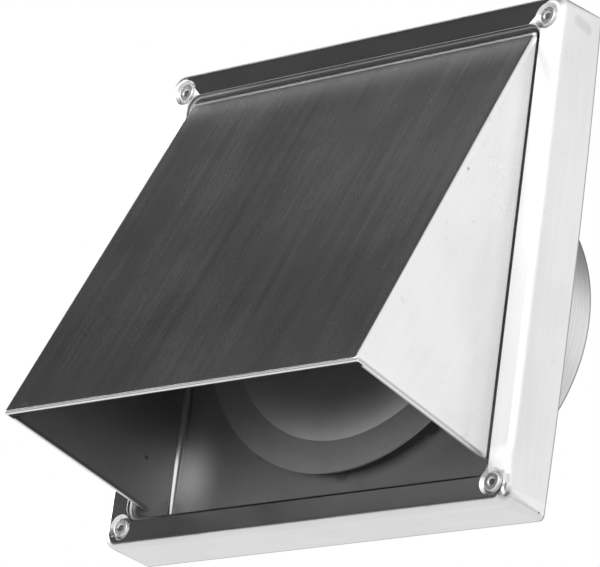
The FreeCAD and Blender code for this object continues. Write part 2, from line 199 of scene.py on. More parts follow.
def span(tree, value, low, high, to_low=0.0, to_high=1.0, soft=True):
    """Carry value from low..high to to_low..to_high and hold it at the ends."""
    node = tree.nodes.new("ShaderNodeMapRange")
    node.interpolation_type = "SMOOTHSTEP" if soft else "LINEAR"
    for socket, entry in zip(node.inputs, (value, low, high, to_low, to_high)):
        feed(tree, socket, entry)
    return node.outputs[0]


MIX_SOCKETS = {"FLOAT": (2, 3, 0), "VECTOR": (4, 5, 1), "RGBA": (6, 7, 2)}


def mix(tree, kind, factor, a, b):
    """a where the factor is 0 and b where it is 1."""
    node = tree.nodes.new("ShaderNodeMix")
    node.data_type = kind
    first, second, result = MIX_SOCKETS[kind]
    feed(tree, node.inputs[0], factor)
    feed(tree, node.inputs[first], a)
    feed(tree, node.inputs[second], b)
    return node.outputs[result]


def noise(tree, place, scale, detail=2.0, roughness=0.5, turn=None):
    """Noise in coordinates that are turned, then scaled by axis."""
    if turn is not None:
        turned = tree.nodes.new("ShaderNodeVectorRotate")
        turned.rotation_type = "EULER_XYZ"
        feed(tree, turned.inputs["Vector"], place)
        feed(tree, turned.inputs["Rotation"], turn)
        place = turned.outputs[0]
    node = tree.nodes.new("ShaderNodeTexNoise")
    node.noise_dimensions = "3D"
    feed(tree, node.inputs["Vector"], vector(tree, "MULTIPLY", place, scale))
    feed(tree, node.inputs["Scale"], 1.0)
    feed(tree, node.inputs["Detail"], detail)
    feed(tree, node.inputs["Roughness"], roughness)
    return node.outputs["Fac"]


def even(scale):
    return (scale, scale, scale)


class Grain:
    """One direction of brushing, and the turn that brings it onto Z."""

    def __init__(self, direction, turn):
        self.direction = direction
        self.turn = turn


UPRIGHT = Grain((0.0, 0.0, 1.0), (0.0, 0.0, 0.0))
LEVEL = Grain((1.0, 0.0, 0.0), (0.0, math.pi / 2, 0.0))
DOWN_SLOPE = Grain(tuple(DOWN_ROOF), (math.atan2(-DOWN_ROOF.y, -DOWN_ROOF.z), 0.0, 0.0))


OFF_AXIS = (0.6, 0.5, 0.62)             # a direction that no brushing follows
NEARLY_SQUARE = 0.95                    # cosine from grain to normal, where the spare takes over


class Finish:
    """One material while its layers are put on: colour, roughness and height in metres."""

    def __init__(self, name, colour, roughness):
        self.material = bpy.data.materials.new(name)
        self.material.use_nodes = True
        self.tree = self.material.node_tree
        self.output = new_tree(self.tree, "ShaderNodeOutputMaterial")
        self.place = self.tree.nodes.new("ShaderNodeTexCoord").outputs["Object"]
        self.colour = colour
        self.roughness = roughness
        self.heights = []
        self.bows = []

    def tint(self, mask, colour):
        self.colour = mix(self.tree, "RGBA", mask, self.colour, colour)

    def shade(self, factor):
        """Multiply the colour by a grey factor."""
        node = self.tree.nodes.new("ShaderNodeMix")
        node.data_type = "RGBA"
        node.blend_type = "MULTIPLY"
        feed(self.tree, node.inputs[0], 1.0)
        feed(self.tree, node.inputs[6], self.colour)
        feed(self.tree, node.inputs[7], factor)
        self.colour = node.outputs[2]

    def rough(self, mask, roughness):
        self.roughness = mix(self.tree, "FLOAT", mask, self.roughness, roughness)

    def shade_where(self, mask, factor):
        """Multiply the colour by a grey factor where the mask is 1."""
        self.shade(mix(self.tree, "FLOAT", mask, 1.0, factor))

    def add_rough(self, amount):
        self.roughness = number(self.tree, "ADD", self.roughness, amount)

    def raise_by(self, pattern, depth):
        """Add a pattern from 0 to 1 as height."""
        self.heights.append(number(self.tree, "MULTIPLY", pattern, depth))

    def metal(self, anisotropy=0.0, across=None):
        """Close the finish as a metal and return its material."""
        shader = self.tree.nodes.new("ShaderNodeBsdfPrincipled")
        shader.inputs["Metallic"].default_value = 1.0
        shader.inputs["Anisotropic"].default_value = anisotropy
        if across is not None:
            feed(self.tree, shader.inputs["Tangent"], across)
        return self.wire(shader)

    def across_grain(self, grain):
        """Direction in the sheet that is square to the brushing.  Where the brushing would
        run straight into the sheet, a fixed direction square to it stands in."""
        tree = self.tree
        normal = tree.nodes.new("ShaderNodeNewGeometry").outputs["Normal"]
        grain = in_world(tree, grain)
        into = number(tree, "ABSOLUTE", vector(tree, "DOT_PRODUCT", normal, grain))
        spare = vector(tree, "CROSS_PRODUCT", grain, OFF_AXIS)
        square = vector(tree, "CROSS_PRODUCT", normal, grain)
        return mix(tree, "VECTOR", number(tree, "GREATER_THAN", into, NEARLY_SQUARE), square, spare)

    def rubber(self, gloss):
        """Close the finish as a matt rubber and return its material."""
        shader = self.tree.nodes.new("ShaderNodeBsdfPrincipled")
        shader.inputs["Specular IOR Level"].default_value = gloss
        return self.wire(shader)

    def wire(self, shader):
        """Feed the layers to a shader and the shader to the output."""
        tree = self.tree
        feed(tree, shader.inputs["Base Color"], self.colour)
        feed(tree, shader.inputs["Roughness"], self.roughness)
        if self.heights:
            total = self.heights[0]
            for height in self.heights[1:]:
                total = number(tree, "ADD", total, height)
            self.bows.append((total, 1.0))
        normal = None
        for height, where in self.bows:
            bump = tree.nodes.new("ShaderNodeBump")
            feed(tree, bump.inputs["Strength"], where)
            feed(tree, bump.inputs["Distance"], 1.0)
            feed(tree, bump.inputs["Height"], height)
            if normal is not None:
                tree.links.new(normal, bump.inputs["Normal"])
            normal = bump.outputs[0]
        if normal is not None:
            tree.links.new(normal, shader.inputs["Normal"])
        tree.links.new(shader.outputs[0], self.output.inputs["Surface"])
        return self.material


def in_world(tree, direction):
    """A direction of the piece, turned with the body that it rides on."""
    node = tree.nodes.new("ShaderNodeVectorTransform")
    node.vector_type = "VECTOR"
    node.convert_from = "OBJECT"
    node.convert_to = "WORLD"
    feed(tree, node.inputs[0], direction)
    return node.outputs[0]


def brush_lines(finish, look, grain):
    """Fine lines along the grain, with broader ones through them, about 0.3 to 0.7."""
    across = 1 / look.line_pitch
    along = 1 / look.line_length
    tree = finish.tree
    fine = noise(tree, finish.place, (across, across, along), 2.0, 0.6, grain.turn)
    broad = noise(tree, finish.place, (across / 7, across / 7, along / 3), 2.0, 0.5, grain.turn)
    return mix(tree, "FLOAT", 0.45, fine, broad)


def brush(finish, look, lines, where=1.0):
    """Lay the brush lines on the colour, the roughness and the height."""
    tree = finish.tree
    dark = span(tree, lines, 0.36, 0.64, 1 - look.line_contrast, 1.0)
    finish.shade_where(where, dark)
    uneven = span(tree, lines, 0.35, 0.65, -0.012, 0.02, soft=False)
    finish.add_rough(number(tree, "MULTIPLY", uneven, where))
    finish.raise_by(number(tree, "MULTIPLY", lines, where), look.line_depth)


def handling(finish, amount=0.02):
    """Faint clouds of uneven polish and a few fine random scratches."""
    tree = finish.tree
    cloud = noise(tree, finish.place, even(24.0), 3.0, 0.55)
    finish.add_rough(span(tree, cloud, 0.3, 0.7, -amount, amount, soft=False))
    finish.shade(span(tree, cloud, 0.35, 0.60, 0.94, 1.0))
    scratch = noise(tree, finish.place, (900.0, 260.0, 40.0), 1.0, 0.5, (0.4, 0.9, 0.3))
    finish.shade(span(tree, scratch, 0.70, 0.78, 1.0, 0.93))


def spot(finish, centre, radius):
    """1 inside a small round mark and 0 outside it."""
    away = vector(finish.tree, "DISTANCE", finish.place, centre)
    return span(finish.tree, away, radius, radius * 0.5)


def stroke(finish, start, end, radius):
    """1 along a short line and 0 away from it."""
    tree = finish.tree
    start, end = Vector(start), Vector(end)
    run = end - start
    from_start = vector(tree, "SUBTRACT", finish.place, tuple(start))
    share = number(tree, "DIVIDE", vector(tree, "DOT_PRODUCT", from_start, tuple(run)), run.dot(run))
    share = span(tree, share, 0.0, 1.0, soft=False)
    foot = tree.nodes.new("ShaderNodeVectorMath")
    foot.operation = "SCALE"
    feed(tree, foot.inputs[0], tuple(run))
    feed(tree, foot.inputs["Scale"], share)
    away = vector(tree, "DISTANCE", from_start, foot.outputs[0])
    return span(tree, away, radius, radius * 0.3)


class Weld:
    """Size of a spot weld's mark."""
    radius = 0.0016
    depth = 0.00006
    stain = 0.0030


def weld_mark(finish, away):
    """Dish and halo of a spot weld, from the distance to its middle."""
    tree = finish.tree
    finish.raise_by(span(tree, away, Weld.radius * 0.6, Weld.radius, 0.0, 1.0), Weld.depth)
    finish.shade(span(tree, away, Weld.radius, Weld.stain, 0.80, 1.0))


def ring_of_welds(finish, radius, count):
    """Spot welds evenly round the duct axis."""
    tree = finish.tree
    x, _, z = axes(tree, finish.place)
    out = number(tree, "SQRT", squared_from_axis(finish))
    turns = number(tree, "DIVIDE", number(tree, "ARCTAN2", z, x), 2 * math.pi / count)
    part = number(tree, "SUBTRACT", number(tree, "FRACT", turns), 0.5)
    sideways = number(tree, "MULTIPLY", part, 2 * math.pi * radius / count)
    outward = number(tree, "SUBTRACT", out, radius)
    away = number(tree, "SQRT", number(tree, "ADD", number(tree, "MULTIPLY", sideways, sideways),
                                       number(tree, "MULTIPLY", outward, outward)))
    weld_mark(finish, away)


def along(finish, start, direction):
    """Distance from a point along a direction."""
    reach = vector(finish.tree, "DOT_PRODUCT", finish.place, tuple(direction))
    return number(finish.tree, "SUBTRACT", reach, start.dot(direction))


class HoodDepths:
    """Distances on the hood, inwards from its outer faces and from its rim and bend."""

    def __init__(self, finish):
        tree = finish.tree
        x, _, z = axes(tree, finish.place)
        self.under_roof = along(finish, ROOF_TOP, -OUT_OF_ROOF)
        self.in_cheek = number(tree, "SUBTRACT", HOOD_HIGH[0], number(tree, "ABSOLUTE", x))
        self.under_top = number(tree, "SUBTRACT", HOOD_HIGH[2], z)
        self.down_roof = along(finish, ROOF_TOP, DOWN_ROOF)
        self.over_rim = along(finish, ROOF_LIP, INTO_HOOD)
        self.depth = number(tree, "MINIMUM", self.under_roof, self.in_cheek)
        self.at_roof = number(tree, "LESS_THAN", self.under_roof, self.in_cheek)

    def outside(self, tree):
        """1 on the outer faces and 0 on the inner ones."""
        depth = number(tree, "MINIMUM", self.depth, self.under_top)
        return span(tree, depth, SHEET * 0.6, SHEET * 0.4)


def product(tree, first, *others):
    """Several masks or numbers multiplied together."""
    for other in others:
        first = number(tree, "MULTIPLY", first, other)
    return first


def opposite(tree, mask):
    return number(tree, "SUBTRACT", 1.0, mask)


def squared_from_axis(finish):
    """Square of the distance from the duct axis."""
    tree = finish.tree
    x, _, z = axes(tree, finish.place)
    return number(tree, "ADD", number(tree, "MULTIPLY", x, x), number(tree, "MULTIPLY", z, z))


def bow(finish, distance, reach, drop, where):
    """Sheet that curves away towards an edge, from the distance to it."""
    near = span(finish.tree, distance, 0.0, reach, 1.0, 0.0, soft=False)
    fall = number(finish.tree, "MULTIPLY", number(finish.tree, "POWER", near, 3.0), -drop)
    finish.bows.append((fall, where))


def hem_edge(finish, depths):
    """Folded hem on the mouth's rim: painted shade on the roll of the outer layer, a painted highlight on
    the inner layer and a painted shadow behind it."""
    tree = finish.tree
    depth = depths.depth
    roof = depths.at_roof
    on_rim = span(tree, depths.over_rim, 0.8 * MM, 0.6 * MM)
    roll_end = mix(tree, "FLOAT", roof, 0.35 * MM, 0.45 * MM)
    crown = span(tree, depth, 0.12 * MM, 0.20 * MM, 0.95, 0.42, soft=False)
    roll_shade = mix(tree, "FLOAT", roof, 0.75, crown)
    bright_end = mix(tree, "FLOAT", roof, 1.10 * MM, 1.15 * MM)
    past_roll = number(tree, "GREATER_THAN", depth, roll_end)
    past_bright = number(tree, "GREATER_THAN", depth, bright_end)
    # Painted shade on the outer roll of the hem
    finish.shade_where(on_rim, mix(tree, "FLOAT", past_roll, roll_shade, 1.0))
    # Painted highlight on the inner layer of the hem
    finish.tint(product(tree, past_roll, opposite(tree, past_bright), on_rim), PAINTED_HIGHLIGHT)
    # Painted shadow behind the hem's inner layer
    behind = mix(tree, "FLOAT", roof, 1.1 * MM, 1.8 * MM)
    shadow = product(tree, past_bright, number(tree, "LESS_THAN", depths.over_rim, behind))
    finish.shade_where(shadow, mix(tree, "FLOAT", roof, 0.7, 0.3))


class Strokes:
    """How far past the diagonals the upright strokes run at the top and the level ones
    at the bottom, and how much further these run at the left of the front."""
    top = 4.5 * MM
    bottom = 4 * MM
    bottom_left = 18 * MM


def level_side(finish):
    """1 where the trim frame is brushed level and 0 where upright."""
    tree = finish.tree
    x, y, z = axes(tree, finish.place)
    below = number(tree, "LESS_THAN", z, 0.0)
    left = number(tree, "LESS_THAN", x, 0.0)
    front = number(tree, "LESS_THAN", y, FRAME_LOW[1] + 2 * SHEET)
    run_on = product(tree, left, front, Strokes.bottom_left)
    shift = mix(tree, "FLOAT", below, Strokes.top,
                number(tree, "SUBTRACT", -Strokes.bottom, run_on))
    beside = number(tree, "ADD", number(tree, "ABSOLUTE", x), shift)
    return number(tree, "GREATER_THAN", number(tree, "ABSOLUTE", z), beside)


def dark_edge(finish, edge_y, width):
    """Painted shade along the end of a piece that points into the wall, darker towards that end."""
    _, y, _ = axes(finish.tree, finish.place)
    finish.shade(span(finish.tree, y, edge_y - width, edge_y - width / 2, 1.0, 0.45))


class Pucker:
    """Marks on the metal that is gathered at the trim frame's lower right corner: the folds, the patch and
    the crease are painted shade, the ridge is a painted highlight, and the nick is a small dark mark.
    """
    middle = (0.0733, -0.0176, -0.0720)
    folds = (((0.0722, -0.0180, -0.0726), (0.0728, -0.0179, -0.0716)),
             ((0.0737, -0.0176, -0.0702), (0.0735, -0.0176, -0.0711)),
             ((0.0738, -0.0171, -0.0729), (0.0742, -0.0168, -0.0724)))
    ridge = ((0.0731, -0.0178, -0.0712), (0.0734, -0.0176, -0.0724))
    ridge_highlight_colour = (0.95, 0.95, 0.95)
    shaded_patch = ((0.0741, -0.0177, -0.0676), (0.0742, -0.0177, -0.0692))
    crease = ((0.0744, -0.0165, -0.0731), (0.0741, -0.0030, -0.0734))
    nick = (0.0741, -0.0026, -0.0735)


SKIRT_SMUDGE = ((0.0750, -0.0110, 0.0690), (0.0750, -0.0060, 0.0685))


def corner_marks(finish, look):
    """Painted shade and highlight on the puckered metal at the lower right corner, painted shade along the
    faint crease behind it, and a small dark nick.
    """
    tree = finish.tree
    # Painted shade along the crease
    finish.shade_where(stroke(finish, *Pucker.crease, 0.6 * MM), 0.86)
    away = vector(tree, "DISTANCE", finish.place, Pucker.middle)
    # Painted shade round the pucker
    finish.shade(span(tree, away, 1.2 * MM, 3.0 * MM, 0.62, 1.0))
    for fold in Pucker.folds:
        # Painted shade along the folds
        finish.tint(stroke(finish, *fold, 0.8 * MM), [c * 3 for c in look.grime])
    # Painted highlight along the ridge
    finish.tint(stroke(finish, *Pucker.ridge, 0.6 * MM), Pucker.ridge_highlight_colour)
    # Painted shade on a patch beside the pucker
    finish.shade_where(stroke(finish, *Pucker.shaded_patch, 1.1 * MM), 0.6)
    finish.tint(spot(finish, Pucker.nick, 0.4 * MM), look.grime)


def right_end_bow(finish):
    """Lower end of the right front face, which leans a little to the right."""
    tree = finish.tree
    x, _, z = axes(tree, finish.place)
    where = product(tree, span(tree, z, -57 * MM, -61 * MM), span(tree, z, -66.5 * MM, -65.5 * MM),
                    span(tree, x, 66.5 * MM, 66.6 * MM))
    finish.bows.append((number(tree, "MULTIPLY", x, -0.24), where))


def opening_edge(finish):
    """Painted shade on the cut edge round the trim frame's opening."""
    tree = finish.tree
    x, _, z = axes(tree, finish.place)
    out = number(tree, "MAXIMUM", number(tree, "ABSOLUTE", x), number(tree, "ABSOLUTE", z))
    finish.shade(span(tree, out, 67.20 * MM, 67.35 * MM, 0.6, 1.0))


def brushed_frame(look):
    """Trim frame, brushed along each of its sides."""
    finish = Finish("trim_brushed_along_each_side", look.steel, look.upright_roughness)
    tree = finish.tree
    on_level = level_side(finish)
    finish.rough(on_level, look.level_roughness)
    upright = brush_lines(finish, look, UPRIGHT)
    level = brush_lines(finish, look, LEVEL)
    brush(finish, look, mix(tree, "FLOAT", on_level, upright, level), 0.5)
    handling(finish)
    # Painted shade along the skirt's edge against the wall
    dark_edge(finish, FRAME_HIGH[1], 0.6 * MM)
    opening_edge(finish)
    right_end_bow(finish)
    corner_marks(finish, look)
    finish.shade_where(stroke(finish, *SKIRT_SMUDGE, 2.6 * MM), 0.84)
    grain = mix(tree, "VECTOR", on_level, UPRIGHT.direction, LEVEL.direction)
    return finish.metal(look.anisotropy, finish.across_grain(grain))


def brush_hood_outside(finish, look, depths, outside):
    """Brush lines outside, fainter on the cheeks and fading at the rim and the top fold."""
    tree = finish.tree
    worked = product(tree, outside, mix(tree, "FLOAT", depths.at_roof, 0.25, 1.0),
                     span(tree, depths.over_rim, 1.5 * MM, 3.0 * MM),
                     span(tree, depths.down_roof, 2.5 * MM, 5.0 * MM))
    brush(finish, look, brush_lines(finish, look, DOWN_SLOPE), worked)


def roof_top_edge(finish, depths, on_roof):
    """Roof that bows towards its top fold, with painted shade in the gap there and a painted highlight line
    a little below it.
    """
    tree = finish.tree
    bow(finish, depths.down_roof, 18 * MM, 0.75 * MM, depths.at_roof)
    # Painted shade in the gap at the top fold
    finish.shade_where(product(tree, on_roof, span(tree, depths.down_roof, 1.4 * MM, 1.0 * MM)), 0.5)
    highlight_line = product(tree, span(tree, depths.down_roof, 1.3 * MM, 1.6 * MM),
                     span(tree, depths.down_roof, 2.5 * MM, 2.1 * MM), on_roof)
    # Painted highlight line below the top fold
    finish.tint(highlight_line, PAINTED_HIGHLIGHT)
    lean = number(tree, "MULTIPLY", along(finish, ROOF_TOP, Vector((0, 0, 1))), 1.6)
    finish.bows.append((lean, highlight_line))


def cheek_at_groove(finish, on_cheek):
    """Cheek that flares out towards the groove along the trim frame, with painted shade on its last edge in
    the groove.
    """
    tree = finish.tree
    _, y, _ = axes(tree, finish.place)
    to_groove = number(tree, "SUBTRACT", FRAME_LOW[1] + 0.6 * MM, y)
    bow(finish, to_groove, 4 * MM, -0.9 * MM, on_cheek)
    # Painted shade in the groove
    finish.shade_where(product(tree, on_cheek, span(tree, to_groove, 0.2 * MM, -0.1 * MM)), 0.85)


def shade_inside(finish, depths, outside):
    """Painted shade on the inner faces: the roof's inner face darkest, and all of them darker towards the
    top.
    """
    tree = finish.tree
    _, _, z = axes(tree, finish.place)
    # Painted shade on the roof's inner face
    finish.shade_where(product(tree, opposite(tree, outside), depths.at_roof), 0.60)
    # Painted shade on the inner faces, darker towards the top
    finish.shade(mix(tree, "FLOAT", outside, deep_shade(tree, z), 1.0))


class HoodMarks:
    """Small marks of use on the hood."""
    pit_inside = (-0.0648, -0.0154, -0.0469)
    pit_on_cheek = (0.0656, -0.0394, 0.0145)
    scuff_on_rim = ((-0.0592, -0.0733, -0.0507), (-0.0572, -0.0731, -0.0503))
    pit_strength = 0.6


def hood_marks(finish, look):
    for pit, radius in ((HoodMarks.pit_inside, 0.9 * MM), (HoodMarks.pit_on_cheek, 0.6 * MM)):
        mask = number(finish.tree, "MULTIPLY", HoodMarks.pit_strength, spot(finish, pit, radius))
        finish.tint(mask, look.grime)
    finish.tint(stroke(finish, *HoodMarks.scuff_on_rim, 0.5 * MM), [c * 1.3 for c in look.steel])


def brushed_hood(look):
    """Hood, brushed down the slope outside and left as rolled inside."""
    inside = [c * 1.12 for c in look.mill_steel]
    finish = Finish("hood_brushed_outside_mill_inside", inside, look.mill_roughness)
    tree = finish.tree
    depths = HoodDepths(finish)
    outside = depths.outside(tree)
    finish.tint(outside, look.steel)
    finish.rough(outside, look.roughness)
    brush_hood_outside(finish, look, depths, outside)
    roof_top_edge(finish, depths, product(tree, outside, depths.at_roof))
    cheek_at_groove(finish, product(tree, outside, opposite(tree, depths.at_roof)))
    shade_inside(finish, depths, outside)
    bow(finish, depths.in_cheek, 5 * MM, 0.10 * MM, depths.at_roof)
    handling(finish)
    hem_edge(finish, depths)
    hood_marks(finish, look)
    return finish.metal(look.anisotropy * 0.7, finish.across_grain(DOWN_SLOPE.direction))


def mill_sheet(name, colour, roughness, mottle=0.07):
    """Unbrushed sheet with a soft mottle."""
    finish = Finish(name, colour, roughness)
    tree = finish.tree
    cloud = noise(tree, finish.place, even(55.0), 4.0, 0.55)
    speck = noise(tree, finish.place, even(1100.0), 2.0, 0.5)
    finish.shade(span(tree, cloud, 0.35, 0.65, 1 - mottle, 1.0))
    finish.add_rough(span(tree, cloud, 0.3, 0.7, 0.03, -0.03, soft=False))
    finish.add_rough(span(tree, speck, 0.3, 0.7, -0.02, 0.02, soft=False))
    finish.raise_by(speck, 0.000002)
    return finish


class Bend:
    """Bend at the pan's left side and the bulge beside it."""
    line = ((-0.0653, -0.0024, -0.0250), (-0.0653, -0.0024, -0.0610))
    roughness = 0.14
    bulge_middle = (-0.0640, -0.0016, -0.0490)
    plate_edge = -0.0642                # where the flat back plate starts


def pressed_bend(finish):
    """Painted highlight along the bend at the pan's left side, and the sheet that bulges a little beside
    it.
    """
    tree = finish.tree
    x, _, z = axes(tree, finish.place)
    low = span(tree, z, -32 * MM, -48 * MM)
    line = product(tree, low, stroke(finish, *Bend.line, 1.0 * MM))
    # Painted highlight along the lower part of the bend
    finish.tint(line, PAINTED_HIGHLIGHT)
    finish.rough(line, Bend.roughness)
    finish.bows.append((z, number(tree, "MULTIPLY", line, 0.38)))
    away = vector(tree, "DISTANCE", finish.place, Bend.bulge_middle)
    bulge = product(tree, span(tree, away, 20 * MM, 2 * MM, 0.0, 0.44),
                    number(tree, "GREATER_THAN", x, Bend.plate_edge))
    finish.bows.append((number(tree, "SUBTRACT", z, number(tree, "MULTIPLY", x, 0.8)), bulge))


def deep_shade(tree, z):
    """Painted shade deep inside the cap, darker towards the top, from the height."""
    return span(tree, z, -50 * MM, -30 * MM, 1.0, 0.66)


def seam_shade(finish):
    """Painted shade on the pan's lip behind the trim frame, lighter towards the left, the rest of the pan a
    tenth darker, and darker still along the seam.
    """
    tree = finish.tree
    x, y, _ = axes(tree, finish.place)
    lip = FRAME_LOW[1] + SHEET
    lip_shade = span(tree, x, -58 * MM, -35 * MM, 1.0, 0.55)
    # Painted shade on the lip, lighter towards the left
    finish.shade(mix(tree, "FLOAT", span(tree, y, lip + 0.9 * MM, lip + 0.6 * MM), 0.9, lip_shade))
    seam = product(tree, span(tree, y, lip + 0.40 * MM, lip + 0.52 * MM),
                   span(tree, y, lip + 0.80 * MM, lip + 0.68 * MM))
    # Painted shade along the seam
    finish.shade_where(seam, 0.4)


def pressed_pan(look):
    """Base pan in mill finish, with its weld marks, its bend with a painted highlight, and painted shade at
    its edge and deep inside.
    """
    finish = mill_sheet("pan_mill_finish", look.mill_steel, look.mill_roughness)
    ring_of_welds(finish, WELD_RING_RADIUS, WELD_COUNT)
    handling(finish)
    pressed_bend(finish)
    seam_shade(finish)
    # Painted shade, darker towards the top
    finish.shade(deep_shade(finish.tree, axes(finish.tree, finish.place)[2]))
    return finish.metal()


def domed_flap(look):
    """Flap in mill finish, faintly domed, and most of all on its rim."""
    finish = mill_sheet("flap_mill_finish", look.steel, look.mill_roughness)
    handling(finish)
    tree = finish.tree
    # Painted shade, darker towards the top
    finish.shade(deep_shade(tree, axes(tree, finish.place)[2]))
    squares = squared_from_axis(finish)
    on_rim = span(tree, number(tree, "SQRT", squares), 40 * MM, 46 * MM, 0.6, 1.0)
    finish.bows.append((number(tree, "MULTIPLY", squares, -0.7), on_rim))
    return finish.metal()


class Roll:
    """Finish of the duct collar.  Its angles run from the right towards the top."""
    # Band of painted shade round the collar: its middle and its widths
    shade_angle = math.radians(27)
    shade_half = math.radians(4)
    shade_end = math.radians(28)
    seam_angle = math.radians(-115)
    seam_depth = 0.00012
    roughness = 0.30
    anisotropy = 0.5


def rolled_collar(look):
    """Collar in rolled sheet, with its lines round it, a band of painted shade, its seam and its weld
    marks.
    """
    finish = mill_sheet("collar_rolled_sheet", look.steel, Roll.roughness)
    tree = finish.tree
    x, _, z = axes(tree, finish.place)
    angle = number(tree, "ARCTAN2", z, x)
    depth_only = vector(tree, "MULTIPLY", finish.place, (0.0, 1.0, 0.0))
    finish.shade(span(tree, noise(tree, depth_only, even(1300.0), 2.0, 0.6), 0.35, 0.65, 0.82, 0.93))
    from_shade = number(tree, "ABSOLUTE", number(tree, "SUBTRACT", angle, Roll.shade_angle))
    # Painted shade in a band round the collar
    finish.shade(span(tree, from_shade, Roll.shade_half, Roll.shade_end, 0.30, 1.0))
    seam = number(tree, "ABSOLUTE", number(tree, "SUBTRACT", angle, Roll.seam_angle))
    finish.shade(span(tree, seam, 0.008, 0.05, 0.72, 1.0))
    finish.raise_by(span(tree, seam, 0.004, 0.010, 0.0, 1.0), Roll.seam_depth)
    ring_of_welds(finish, WELD_RING_RADIUS, WELD_COUNT)
    # Painted shade along the collar's end in the wall
    dark_edge(finish, COLLAR_FREE_END, 0.7 * MM)
    around = vector(tree, "CROSS_PRODUCT", finish.place, (0.0, 1.0, 0.0))
    return finish.metal(Roll.anisotropy, in_world(tree, around))


def gasket_rubber(look):
    """Matt rubber with a fine grain and paler grit in it."""
    finish = Finish("gasket_rubber_matt", look.rubber, roughness=0.7)
    tree = finish.tree
    grain = noise(tree, finish.place, even(1400.0), 3.0, 0.6)
    pale = noise(tree, finish.place, even(2200.0), 1.0, 0.5)
    finish.tint(span(tree, pale, 0.60, 0.70), [c * 3 for c in look.rubber])
    finish.add_rough(span(tree, grain, 0.3, 0.7, -0.08, 0.08, soft=False))
    finish.raise_by(grain, 0.00003)
    return finish.rubber(gloss=0.35)


def dress(node_name, material):
    """Put a finish on every slot of a frame piece."""
    for slot in NODES[node_name].material_slots:
        slot.material = material


class VENTCAP_OT_dress_trim_frame(bpy.types.Operator):
    """Brush the trim frame along each of its sides"""
    bl_idname = "ventcap.dress_trim_frame"
    bl_label = "Trim Frame"

    def execute(self, context):
        dress("trim_frame", brushed_frame(context.scene.ventcap_finish))
        return {"FINISHED"}


class VENTCAP_OT_dress_hood(bpy.types.Operator):
    """Brush the hood down its slope"""
    bl_idname = "ventcap.dress_hood"
    bl_label = "Hood"

    def execute(self, context):
        dress("hood", brushed_hood(context.scene.ventcap_finish))
        return {"FINISHED"}


class VENTCAP_OT_dress_base_pan(bpy.types.Operator):
    """Give the pressed base pan its mill finish and its weld marks"""
    bl_idname = "ventcap.dress_base_pan"
    bl_label = "Base Pan"

    def execute(self, context):
        dress("base_pan", pressed_pan(context.scene.ventcap_finish))
        return {"FINISHED"}


class VENTCAP_OT_dress_flap(bpy.types.Operator):
    """Give the flap its mill finish and its faint dome"""
    bl_idname = "ventcap.dress_flap"
    bl_label = "Flap"

    def execute(self, context):
        dress("flap_disc", domed_flap(context.scene.ventcap_finish))
        return {"FINISHED"}


class VENTCAP_OT_dress_gasket(bpy.types.Operator):
    """Give the gasket its rubber"""
    bl_idname = "ventcap.dress_gasket"
    bl_label = "Gasket"

    def execute(self, context):
        dress("seat_gasket", gasket_rubber(context.scene.ventcap_finish))
        return {"FINISHED"}


class VENTCAP_OT_dress_collar(bpy.types.Operator):
    """Give the rolled duct collar its finish, seam and weld marks"""
    bl_idname = "ventcap.dress_collar"
    bl_label = "Duct Collar"

    def execute(self, context):
        dress("duct_collar", rolled_collar(context.scene.ventcap_finish))
        return {"FINISHED"}


class VENTCAP_OT_dress_hinge_pin(bpy.types.Operator):
    """Give the hinge pin the finish of drawn wire"""
    bl_idname = "ventcap.dress_hinge_pin"
    bl_label = "Hinge Pin"

    def execute(self, context):
        look = context.scene.ventcap_finish
        dress("hinge_pin", mill_sheet("pin_drawn_wire", look.steel, roughness=0.2).metal())
        return {"FINISHED"}


class VENTCAP_OT_dress_hinge_brackets(bpy.types.Operator):
    """Give the two hinge brackets their mill finish"""
    bl_idname = "ventcap.dress_hinge_brackets"
    bl_label = "Hinge Brackets"

    def execute(self, context):
        look = context.scene.ventcap_finish
        bracket = mill_sheet("bracket_mill_finish", look.mill_steel, roughness=0.36).metal()
        for side in ("left", "right"):
            dress("hinge_bracket_" + side, bracket)
        return {"FINISHED"}


class VENTCAP_OT_dress_rivets(bpy.types.Operator):
    """Give the four corner rivets their smooth formed finish"""
    bl_idname = "ventcap.dress_rivets"
    bl_label = "Corner Rivets"

    def execute(self, context):
        look = context.scene.ventcap_finish
        dress("corner_rivets", mill_sheet("rivet_formed", look.mill_steel, roughness=0.27).metal())
        return {"FINISHED"}


class VENTCAP_OT_dress_mandrels(bpy.types.Operator):
    """Give the snapped mandrels in the rivets a very dark colour: painted shade of the holes they sit in"""
    bl_idname = "ventcap.dress_mandrels"
    bl_label = "Rivet Mandrels"

    def execute(self, context):
        # Very dark colour: painted shade in the rivets' holes
        hole_shade = [c * 0.2 for c in context.scene.ventcap_finish.mill_steel]
        dress("corner_rivet_mandrels", mill_sheet("mandrel_end_painted_shade", hole_shade, roughness=0.5).metal())
        return {"FINISHED"}


def toward(azimuth):
    """Level direction at an angle from straight out of the wall, positive to the right."""
    a = math.radians(azimuth)
    return (math.sin(a), -math.cos(a), 0.0)


class Sky:
    """Masks on directions from the part, in degrees."""

    def __init__(self, tree, direction):
        self.tree = tree
        self.up = axes(tree, direction)[2]
        self.level = vector(tree, "NORMALIZE", vector(tree, "MULTIPLY", direction, (1.0, 1.0, 0.0)))

    def about(self, azimuth, half, fade):
        """1 within half of an azimuth, fading to 0."""
        near = vector(self.tree, "DOT_PRODUCT", self.level, toward(azimuth))
        return span(self.tree, near, math.cos(math.radians(half + fade)), math.cos(math.radians(half)))

    def above(self, elevation, fade):
        """0 below an elevation, fading to 1 over it."""
        return span(self.tree, self.up, math.sin(math.radians(elevation)),
                    math.sin(math.radians(elevation + fade)))

    def between(self, low, high, fade):
        over = self.above(low, fade)
        under = number(self.tree, "SUBTRACT", 1.0, self.above(high, fade))
        return number(self.tree, "MULTIPLY", over, under)


FRONT_CARD = (-42.5, 10, 6)             # azimuth, half its width and its fade, in degrees


